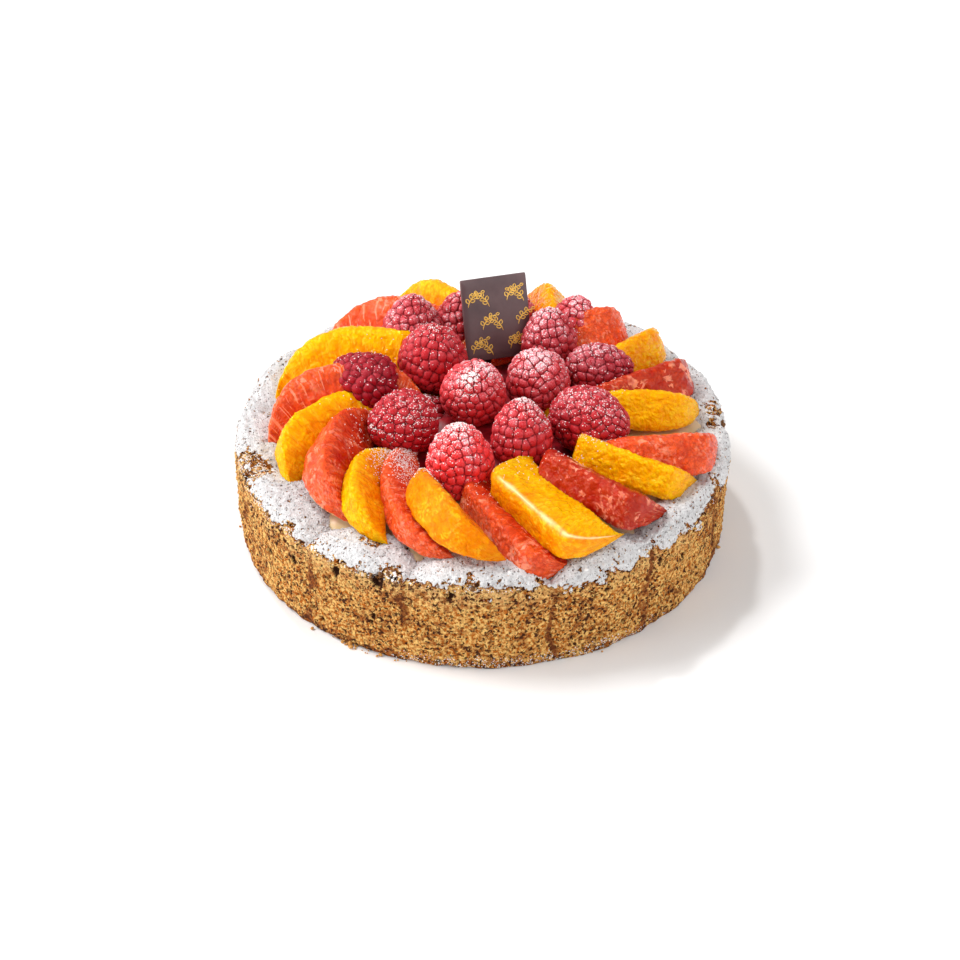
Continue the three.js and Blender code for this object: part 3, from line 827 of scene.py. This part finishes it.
def citrus_material(name, deep, bright, crease, light, painted_reflection_share, strand, tint):
    """Translucent flesh: deep on its smooth flat faces, bright at the peel side and thin ends, which is
    painted light on the peel side and painted shade towards the core edge that tucks under the next
    slice; paleness makes whole slices lighter or darker, partly their own colour and partly painted
    light and shade, and where it is below nothing it paints shade. It is creased between its juice
    sacs, with pale strands along them, pale lines along the sacs that are partly membrane and partly
    painted glints, curled pale blotches of painted reflection off the wet skin, and pith. The juice
    tints the wet skin's reflection."""
    material, place, mark = new_material(name)
    peel, pale = mark("peel"), mark("pale")
    sacs = add_node(place.tree, "CombineXYZ", {0: mark("along"), 1: mark("rise"), 2: mark("round")})
    pools = mottle(place, 6, 2.6)
    flow = mottle(moved(sacs, "MULTIPLY", (0.5, 0.22, 0.5)), 1, 4.5, 0.8)
    # Painted light and shade: brighter on the peel side, deeper on the flat faces towards the core edge
    # that tucks under the next slice.
    body = peel * 0.5 + pale * 0.55 + pools * 0.25 + flow * 0.4 + mark("cell") * 0.15
    lines = grouped(JUICE_SACS, sacs, Size=0.6, Width=0.11)
    fibres = mottle(moved(sacs, "MULTIPLY", (1.3, 0.34, 1.3)), 1, 5.0)
    strands = fibres.spread(0.93, 1.0) * pale.spread(0.2, 0.9)
    # Painted reflection: curled pale blotches stand for light reflected off the wet, bumpy surface.
    painted_reflections = mottle(place, 3.4, 5.0, 0.8).spread(0.72, 0.84)
    colour = layered(
        body.spread(0.25, 1.3).between(deep, bright),
        # Painted shade: flesh whose paleness is below nothing turns towards the crease colour.
        (pale.spread(-0.1, -0.6, 0.0, 0.7), crease),
        (mark("crease") * 0.4, crease),
        (lines * peel.spread(0.0, 1.0, 0.08, 0.35), crease),
        (strands * strand, light),
        (painted_reflections * pools.spread(0.5, 0.8) * pale.spread(1.0, 0.2) * painted_reflection_share, light),
        # Pale lines along the sacs: partly membrane, partly painted glints.
        (mark("vein_and_glint") * 0.5, light),
        (mark("pith") * 0.9, PITH),
    )
    inputs = {
        "Base Color": colour, "Roughness": mottle(place, 1.1, 2.6).spread(0.0, 1.0, 0.05, 0.14),
        "Subsurface Weight": 0.4, "Subsurface Radius": (1.0, 0.35, 0.03), "Subsurface Scale": 3 * MM,
        "Specular IOR Level": 0.5, "Specular Tint": tint, "IOR": 1.4,
    }
    height = flow * 0.6 + lines * -0.1 + mottle(place, 3.2, 2.0, 0.8) * 1.6
    return finished(material, inputs, height, 0.4)


CITRUS = {kind: citrus_material(kind + "_flesh", *flesh) for kind, flesh in FLESH.items()}
# Points and upward lean of every fruit's skin but its ends, where sugar grains may lie.
FRUIT_SKINS = []


def fruit_piece(name, grid, marks, material):
    """One fruit's skin as a piece. Its points are kept for the sugar grains."""
    piece = closed_skin(name, grid, marks)
    piece.data.materials.append(material)
    FRUIT_SKINS.append((grid[2:-2], outward(grid)[2:-2, :, 2]))
    return piece


made = {"orange": 0, "grapefruit": 0}
for index, slice_row in enumerate(SLICES):
    kind = slice_row[0]
    made[kind] += 1
    slice_name = f"{kind}_slice_{made[kind]}"
    piece = fruit_piece(slice_name, *slice_grid(slice_row, 200 + 30 * index), CITRUS[kind])
    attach(piece, "root")
    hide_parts(f"{kind}_{made[kind]}")

# ================================================================ raspberries
# Fresh raspberries heaped on the middle, mostly tip up or lying with the tip outwards. Each is a
# blunt cone of packed round drupelets with a frosty bloom, which is partly sugar and partly a painted
# highlight on the lit upper domes, with painted shade in the creases, dusted on top with icing sugar.

BERRY_ROWS = 104
BERRY_COLUMNS = 160
BERRY_TAPER = 0.16
DRUPELET = 3.3
DRUPELET_RISE = 0.65
CREASE_DEPTH = 0.55
# Colours of the flesh from dark to bright, of a drupelet's own tone, of the bloom, partly frost and partly
# painted highlight, of the creases, painted shade, and of the sugar frost.
BERRY = {
    "dark": "90061A", "bright": "F43230", "shade": "B00C22", "bloom": "FFA0AA", "crease": "52040E",
    "frost": "FBEFF1",
}
# One row for each raspberry in mm: centre x, y and z, azimuth and elevation of its tip, width,
# length, how bright a red it is, from 0 for the darkest, and how frosted.
BERRIES = [
    (-43, 12, 53, 160, 21, 24, 27, 0, 0.1), (-26, 43, 55, 90, 73, 23, 27, 0.25, 1),
    (-18, 22, 57, 0, 84, 26, 27, 0.35, 0.35), (-29, -13, 52, 214, 12, 24, 27, 0.3, 0.2),
    (-3, 0, 57, 270, 58, 24, 27, 0.6, 1.3), (-8, -34, 51, 90, 84, 24, 29, 1.0, 0.9),
    (14, -21, 53, 90, 79, 22, 28, 0.5, 0.6), (20, 10, 56, 180, 73, 24, 24, 0.45, 1.35),
    (39, -11, 52, 328, 6, 25, 31, 0.3, 0.45), (43, 20, 53, 6, 6, 20, 26, 0.05, 0.65),
    (25, 36, 55, 90, 79, 21, 26, 0.2, 1.0), (34, 48, 54, 59, 60, 19, 23, 0.45, 1.0),
    (-8, 49, 54, 90, 79, 20, 25, 0.4, 0.9), (-20, 5, 41, 90, 79, 19, 20, 0.1, 0.2),
    (11, 51, 54, 90, 70, 20, 23, 0.4, 0.9),
]


def drupelet_centres(width, length, seed):
    """Places on the berry, as station and turn, of drupelets in staggered rings a drupelet apart,
    each nudged at random by up to a third of that."""
    draw = np.random.default_rng(seed)
    count = max(5, round(1.25 * length / DRUPELET) + 1)
    found = []
    for station in -np.cos(np.pi * (np.arange(count) + 0.5) / count):
        slim = math.sqrt(1 - station**2)
        girth = width / 2 * (1 - BERRY_TAPER * station) * slim
        around = max(1, round(2 * math.pi * girth / DRUPELET))
        places = np.arange(around) + draw.uniform(0, 1) + draw.uniform(-0.3, 0.3, around)
        nudge = draw.uniform(-0.08, 0.08, around) * slim
        found.append(np.stack([station + nudge, places * 2 * np.pi / around], -1))
    return np.concatenate(found)


def berry_grid(row, seed):
    """Points of one raspberry and its marks: a cone of revolution, less a drupelet's rise, plus at
    each point the height of a flat dome round the nearest drupelet centre, less a crease where two
    centres are equally near."""
    x, y, z, azimuth, elevation, width, length, bright, frosted = row
    axis = heading(azimuth, elevation)
    right = unit(np.cross(axis, (0, 0, 1) if abs(axis[2]) < 0.9 else (1, 0, 0)))
    ahead = np.cross(axis, right)

    def on_body(station, turn, proud=-0.5):
        girth = width / 2 + proud
        girth = girth * (1 - BERRY_TAPER * station) * np.sqrt(np.maximum(1 - station**2, 0))
        round_axis = (girth * np.cos(turn))[..., None] * right + (girth * np.sin(turn))[..., None] * ahead
        return (station * (length / 2 + proud))[..., None] * axis + round_axis

    station = -np.cos(np.pi * np.linspace(0, 1, BERRY_ROWS))[:, None] + np.zeros((1, BERRY_COLUMNS))
    turn = 2 * np.pi * np.arange(BERRY_COLUMNS) / BERRY_COLUMNS + np.zeros_like(station)
    body = on_body(station, turn)
    spots = on_body(*drupelet_centres(width, length, seed).T)
    away = np.linalg.norm(body[:, :, None, :] - spots, axis=-1)
    order = np.argsort(away, axis=-1)[..., :2]
    near, following = np.moveaxis(np.take_along_axis(away, order, -1), -1, 0)
    nearest = order[..., 0]
    own = hashed(np.stack([nearest, nearest * 0 + seed, nearest * 0], -1), 7)
    gap = following - near
    dome = 1 - (near / (0.62 * DRUPELET)) ** 2
    rise = DRUPELET_RISE * np.maximum(dome, -0.4) - CREASE_DEPTH * eased(gap, 0.55, 0) + 0.3 * (own - 0.5)
    centre = np.array([x, y, z]) + 0.5 * ripple(body, 9, seed)[..., None]
    points = centre + body + outward(body) * rise[..., None]
    marks = {
        "crease": eased(gap, 0.5, 0.08),
        "rim": eased(gap, 0.3, 0.5) * eased(gap, 1.4, 0.7),
        "own": own,
        "dome": np.clip(dome, 0, 1),
        "upward": np.clip(0.5 + 0.5 * outward(points)[..., 2], 0, 1),
        "high": eased(body[..., 2] / (0.5 * np.ptp(body[..., 2])), -0.1, 0.9),
        "bright": bright + 0 * own,
        "frosted": frosted + 0 * own,
    }
    return points, marks


def raspberry_material():
    """Deep red flesh, each drupelet its own tone of red and frosted over its dome and along its upper
    edge, a bloom that is partly sugar and partly painted highlight, paler where the dome faces up and
    on the berry's top; near black-red in the creases as painted shade; and whitened from above by
    icing sugar."""
    material, place, mark = new_material("raspberry_skin")
    upward, high, frosted, crease = mark("upward"), mark("high"), mark("frosted"), mark("crease")
    cloud = mottle(place, 8, 3.0)
    grain = mottle(place, 0.6, 3.0)
    # Painted highlight, partly frost: the bloom lies on upward-facing domes, along each drupelet's upper
    # edge and over the berry's top.
    bloom = mark("dome") * upward.spread(0.35, 0.95) + mark("rim") * 0.45
    bloom = bloom * (cloud + grain).spread(0.3, 1.4) * frosted * high.spread(0.0, 1.0, 0.45, 1.1)
    share = high * upward.spread(0.4, 0.9) * cloud.spread(0.3, 0.9, 0.05, 0.8)
    frost = specks(place, 0.6, share * frosted * crease.spread(0.6, 0.0), 0.6)
    colour = layered(
        mark("bright").between(BERRY["dark"], BERRY["bright"]),
        (mark("own") * 0.3 + cloud * 0.2, BERRY["shade"]),
        # Bloom: partly sugar frost, partly painted highlight.
        (bloom * 0.6, BERRY["bloom"]),
        # Painted shade: the creases between drupelets are painted near black-red.
        (crease * 0.88, BERRY["crease"]),
        (frost * 0.8, BERRY["frost"]),
    )
    inputs = {
        "Base Color": colour, "Roughness": grain.spread(0.0, 1.0, 0.25, 0.5),
        "Subsurface Weight": 0.15, "Subsurface Radius": (1.0, 0.1, 0.12), "Subsurface Scale": 2 * MM,
        "Specular IOR Level": 0.45, "Specular Tint": (1, 0.35, 0.38, 1),
    }
    return finished(material, inputs, grain + frost, 0.12, 0.7)


RASPBERRY_SKIN = raspberry_material()
for number, berry_row in enumerate(BERRIES, 1):
    piece = fruit_piece(f"raspberry_fruit_{number}", *berry_grid(berry_row, 900 + number), RASPBERRY_SKIN)
    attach(piece, "root")
    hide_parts(f"raspberry_{number}")

# ================================================================ chocolate plaque
# A thin square-cut plaque of dark chocolate stands in the heap behind the berries, leaning back. Its
# face is satin from the sheet it set on.

PLAQUE_WIDTH = 25
PLAQUE_HEIGHT = 31
PLAQUE_THICKNESS = 2
PLAQUE_FOOT = np.array([7, 33, 49])
PLAQUE_TURN = 14
PLAQUE_LEAN = 23
PLAQUE_COLUMNS = 160
EDGE_ROUNDING = 0.35
CORNER_POWER = 60


def plaque_axes():
    """The plaque's directions: across the face, up it, and out of its front."""
    lean = math.radians(PLAQUE_LEAN)
    across = heading(PLAQUE_TURN, 0)
    up = math.cos(lean) * np.array([0, 0, 1]) + math.sin(lean) * heading(PLAQUE_TURN + 90, 0)
    return across, up, np.cross(across, up)


def chocolate_material():
    """Dark chocolate with a faint bloom and a fine satin grain."""
    material, place, _ = new_material("dark_chocolate")
    colour = mottle(place, 9, 1.8).between("4E383B", "6A5152")
    grain = mottle(place, 0.6, 1.5)
    rough = grain.spread(0.0, 1.0, 0.3, 0.42)
    inputs = {"Base Color": colour, "Roughness": rough, "Specular IOR Level": 0.45}
    return finished(material, inputs, grain, 0.03, 0.5)


def chocolate_plaque():
    """A slab as rings of one rounded square: out across the back, round the edge in a half circle and
    in across the front, where every ring's point is the superellipse's at its turn."""
    across, up, out = plaque_axes()
    turn = 2 * np.pi * np.arange(PLAQUE_COLUMNS) / PLAQUE_COLUMNS
    corner = np.stack([np.cos(turn), np.sin(turn)])
    corner = np.sign(corner) * np.abs(corner) ** (2 / CORNER_POWER)
    half_edge = PLAQUE_THICKNESS / 2
    bend = np.linspace(-np.pi / 2, np.pi / 2, 9)
    rounding = (1 - np.cos(bend)) * EDGE_ROUNDING / (PLAQUE_WIDTH / 2)
    inset = np.concatenate([[1.0, 0.8, 0.5, 0.2], rounding, [0.2, 0.5, 0.8, 1.0]])[:, None]
    level = np.concatenate([[-half_edge] * 4, np.sin(bend) * half_edge, [half_edge] * 4])
    wide = (1 - inset) * corner[0] * PLAQUE_WIDTH / 2
    tall = (1 - inset) * corner[1] * PLAQUE_HEIGHT / 2 + PLAQUE_HEIGHT / 2
    points = PLAQUE_FOOT + wide[..., None] * across + tall[..., None] * up
    points = points + (level - half_edge)[:, None, None] * out
    piece = closed_skin("chocolate_plaque_slab", points)
    piece.data.materials.append(chocolate_material())
    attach(piece, "root")
    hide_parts("chocolate_plaque")


chocolate_plaque()

# ================================================================ gold print on the plaque
# Sprigs of small leaves are printed on the plaque in gold, as fine raised lines of coloured cocoa
# butter. They stand in staggered rows, every other one turned the other way.

SPRIG_LENGTH = 7.4
SPRIG_LEAVES = 7
LEAF_SPLAY = 0.95
LEAF_BOW = 0.28
STROKE_POINTS = 26
LINE_WIDTH = 0.4
LINE_RISE = 0.09
# Where each sprig's foot stands on the face, across from its middle and up, and which way it turns.
SPRIGS = [
    (-10.0, 3.0, 1), (-2.6, 1.6, -1), (4.2, 3.2, 1), (10.6, 2.0, -1), (-5.6, 11.6, 1), (2.0, 10.4, -1),
    (8.0, 12.0, 1), (-10.4, 20.6, 1), (-2.4, 20.0, -1), (4.4, 21.4, 1), (10.8, 20.4, -1),
]


def sprig_lines(foot_x, foot_y, side):
    """Lines of one sprig as (lines, points, 2): a stem that bends through a quarter of a circle, and
    leaves set out from it by turns, each of two bowed lines that meet at the tip."""
    along = np.linspace(0, 1, STROKE_POINTS)

    def bend_at(share):
        return side * (0.25 + 1.1 * share)

    def stem_at(share):
        bend = bend_at(share) / 1.7
        foot = np.array([foot_x, foot_y])
        return foot + SPRIG_LENGTH * np.stack([share * np.sin(bend), share * np.cos(bend)], -1)

    lines = [stem_at(along)]
    for leaf in range(SPRIG_LEAVES):
        share = 0.22 + 0.78 * leaf / (SPRIG_LEAVES - 1)
        splay = LEAF_SPLAY if leaf % 2 else -LEAF_SPLAY
        lean = bend_at(share) + (0 if leaf == SPRIG_LEAVES - 1 else splay)
        reach = 2.2 - 0.7 * share
        ahead = np.array([math.sin(lean), math.cos(lean)])
        across = np.array([math.cos(lean), -math.sin(lean)])
        for hand in (-1, 1):
            bow = LEAF_BOW * reach * np.sin(np.pi * along) * hand
            lines.append(stem_at(share) + along[:, None] * reach * ahead + bow[:, None] * across)
    return np.array(lines)


def speckled_material(name, roughness, size, dark, light, relief):
    """Two shades of one colour in fine blotches of that size, with a grainy surface."""
    material, place, _ = new_material(name)
    blotches = mottle(place, size, 2.6)
    inputs = {"Base Color": blotches.between(dark, light), "Roughness": roughness}
    return finished(material, inputs, blotches, relief, 0.6)


def gold_sprigs():
    """Every line as a flat rounded thread: a ring of eight points round each place along it, which
    narrows to nothing at the ends."""
    lines = np.concatenate([sprig_lines(*sprig) for sprig in SPRIGS])
    across, up, out = plaque_axes()
    step = unit(np.gradient(lines, axis=1))
    beside = np.stack([-step[..., 1], step[..., 0]], -1)
    width = (LINE_WIDTH / 2 * np.sin(np.pi * np.linspace(0, 1, STROKE_POINTS)) ** 0.3)[:, None]
    turn = 2 * np.pi * np.arange(8) / 8
    flat = lines[:, :, None] + beside[:, :, None] * (width * np.cos(turn))[None, ..., None]
    rise = (width > 0) * LINE_RISE * np.sin(turn)
    points = PLAQUE_FOOT + flat[..., :1] * across + flat[..., 1:] * up + rise[None, ..., None] * out
    piece = closed_skins("gold_sprigs", points)
    gold = speckled_material("gold_cocoa_butter", 0.35, 1.2, "DEAC3C", "FCCE60", 0.02)
    piece.data.materials.append(gold)
    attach(piece, "root")


gold_sprigs()

# ================================================================ sugar grains and crumbs
# Grains of the sugar that dusted the tart lie on the slices beside the berries and on the berries'
# tops. Lumps of it and dark crumbs are loose on the broken rim, and golden crumbs round the foot.

SUGAR_GRAINS = 7000
# Patches of loose bits on the rim: count, seed, azimuth and its spread, and the first and last place
# on the rim's outline.
LUMP_PATCHES = [
    (16, 11, -110, 2.5, 10.4, 12.2), (12, 12, -134, 2, 10.6, 12.4), (8, 13, -76, 2.5, 11, 12.6),
    (24, 14, -20, 90, 10.8, 14),
]
CRUMB_PATCHES = [
    (30, 21, -111, 3, 10.2, 12.2), (24, 22, -165, 4, 10.6, 13), (18, 23, 6, 4, 10.6, 12.6),
    (60, 24, -60, 110, 10.4, 12),
]


def pebbles(name, places, sizes, seed, rows, columns):
    """Small closed lumps, one at each place: rings of a ball, each corner pushed in or out at random,
    turned about the upright."""
    draw = np.random.default_rng(seed)
    tilt = np.linspace(np.pi, 0, rows)[:, None]
    turn = 2 * np.pi * np.arange(columns) / columns
    ball = np.stack([np.sin(tilt) * np.cos(turn), np.sin(tilt) * np.sin(turn), np.cos(tilt) + 0 * turn], -1)
    rough = draw.uniform(0.7, 1.3, (len(places), rows, columns))
    rough[:, [0, -1]] = 1
    stretch = draw.uniform(0.75, 1.25, (len(places), 1, 1, 3))
    spin = draw.uniform(0, 2 * np.pi, len(places))
    cosine, sine = np.cos(spin), np.sin(spin)
    zero, one = np.zeros_like(spin), np.ones_like(spin)
    turned = np.stack([cosine, -sine, zero, sine, cosine, zero, zero, zero, one], -1).reshape(-1, 3, 3)
    lumps = np.einsum("nij,nrcj->nrci", turned, ball * stretch * rough[..., None])
    return closed_skins(name, places[:, None, None] + lumps * sizes[:, None, None, None] / 2)


def grain_places(count, seed):
    """Points on the slices and berries, drawn at random: beside the berries, facing up, and thickest
    at the front left and the front right."""
    draw = np.random.default_rng(seed)
    points = np.concatenate([skin.reshape(-1, 3) for skin, _ in FRUIT_SKINS])
    up = np.concatenate([rise.ravel() for _, rise in FRUIT_SKINS])
    radius = np.hypot(points[:, 0], points[:, 1])
    azimuth = np.degrees(np.arctan2(points[:, 1], points[:, 0]))
    thick = 0.08 + 1.6 * bell(turned_to(azimuth, -126), 20) + 0.5 * bell(turned_to(azimuth, -30), 18)
    near = eased(radius, 60, 44) * eased(points[:, 2], 40, 43)
    chance = thick * near * eased(up, 0.2, 0.8) + 0.03 * eased(up, 0.5, 0.9) * eased(radius, 50, 30)
    return points[draw.choice(len(points), count, replace=False, p=chance / chance.sum())]


def on_rim(patches):
    """Points on the rim in patches, each at random azimuths about its middle one and at random
    places of the outline between its two."""
    found = []
    for count, seed, around, spread, low_place, high_place in patches:
        draw = np.random.default_rng(seed)
        azimuth = around + spread * draw.normal(0, 1, count)
        places = draw.uniform(low_place, high_place, count)
        index = np.arange(count)
        found.append(on_case(azimuth, places)[index, index])
    return np.concatenate(found)


def loose_bits():
    """Each kind of bit as one piece of pebbles, of random sizes."""
    draw = np.random.default_rng(77)
    grains = grain_places(SUGAR_GRAINS, 5)
    fruit = pebbles("sugar_grains", grains, draw.uniform(0.25, 0.62, len(grains)), 6, 3, 4)
    lumps = on_rim(LUMP_PATCHES)
    rim = pebbles("sugar_lumps", lumps, 0.5 * draw.uniform(1, 1.9, len(lumps)) ** 2, 16, 7, 8)
    crumbs = on_rim(CRUMB_PATCHES)
    dark = pebbles("dark_crumbs", crumbs, draw.uniform(0.5, 1.7, len(crumbs)), 26, 7, 8)
    azimuth = np.concatenate([draw.normal(-119, 6, 22), draw.uniform(-180, 180, 12)])
    sizes = draw.uniform(0.6, 1.3, len(azimuth)) ** 2
    radius = FOOT_RADIUS + draw.uniform(-0.3, 1.8, len(azimuth))
    golden = pebbles("foot_crumbs", round_upright(radius, azimuth, sizes / 2), sizes, 36, 7, 8)
    white = speckled_material("loose_sugar", 0.6, 0.4, "F4F0EE", "FFFEFC", 0.05)
    brown = speckled_material("toasted_crumb", 0.85, 0.6, "52300F", "86582E", 0.15)
    tan = speckled_material("golden_crumb", 0.85, 0.6, "A86C2A", "E0A85A", 0.15)
    for piece, material, slot in (
        (fruit, white, "icing_sugar"), (rim, white, "icing_sugar"),
        (dark, brown, "biscuit"), (golden, tan, "biscuit"),
    ):
        piece.data.materials.append(material)
        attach(piece, "root")


loose_bits()

# ================================================================ studio
# A plain pale floor and a white room, with four lamps: a soft one high on the left, a small one high
# behind, and wide ones in front on the right and low on the left. The camera looks down at the front.

FLOOR_REACH = 4000
ROOM_LIGHT = 0.3
# Name, azimuth, elevation, width in the sky, all in degrees, and strength of each far soft lamp.
LAMPS = [
    ("key_lamp", 162, 50, 24, 2.1), ("front_lamp", -34, 30, 80, 2.0), ("left_lamp", -166, 14, 40, 2.2),
    ("small_lamp", 120, 58, 5, 0.8),
]
CAMERA_ELEVATION = math.radians(36.45)
CAMERA_DISTANCE = 1.321
AIM_HEIGHT = 0.02

corners = np.array([(-1, -1, 0), (1, -1, 0), (1, 1, 0), (-1, 1, 0)]) * FLOOR_REACH
floor = new_piece("floor", corners, [(0, 1, 2, 3)])
pale = {"Base Color": "F4F4F4", "Roughness": 0.9, "Specular IOR Level": 0.0}
floor.data.materials.append(finished(new_material("studio_floor")[0], pale))

room = bpy.data.worlds.new("white_room")
room.use_nodes = True
room.node_tree.nodes["Background"].inputs["Color"].default_value = (1, 1, 1, 1)
room.node_tree.nodes["Background"].inputs["Strength"].default_value = ROOM_LIGHT
bpy.context.scene.world = room

for lamp_name, lamp_azimuth, lamp_elevation, spread, strength in LAMPS:
    light = bpy.data.lights.new(lamp_name, "SUN")
    light.angle = math.radians(spread)
    light.energy = strength
    lamp = bpy.data.objects.new(lamp_name, light)
    bpy.context.scene.collection.objects.link(lamp)
    lamp.rotation_euler = (math.radians(90 - lamp_elevation), 0, math.radians(lamp_azimuth + 90))

eye = bpy.data.cameras.new("camera")
eye.sensor_width = 36
eye.lens = 134.4
eye.shift_x = -0.002
eye.shift_y = -0.006
camera = bpy.data.objects.new("camera", eye)
back = CAMERA_DISTANCE * math.cos(CAMERA_ELEVATION)
above = CAMERA_DISTANCE * math.sin(CAMERA_ELEVATION)
camera.location = (0, -back, AIM_HEIGHT + above)
camera.rotation_euler = (math.pi / 2 - CAMERA_ELEVATION, 0, 0)
bpy.context.scene.collection.objects.link(camera)
bpy.context.scene.camera = camera
bpy.context.scene.view_settings.view_transform = "Standard"
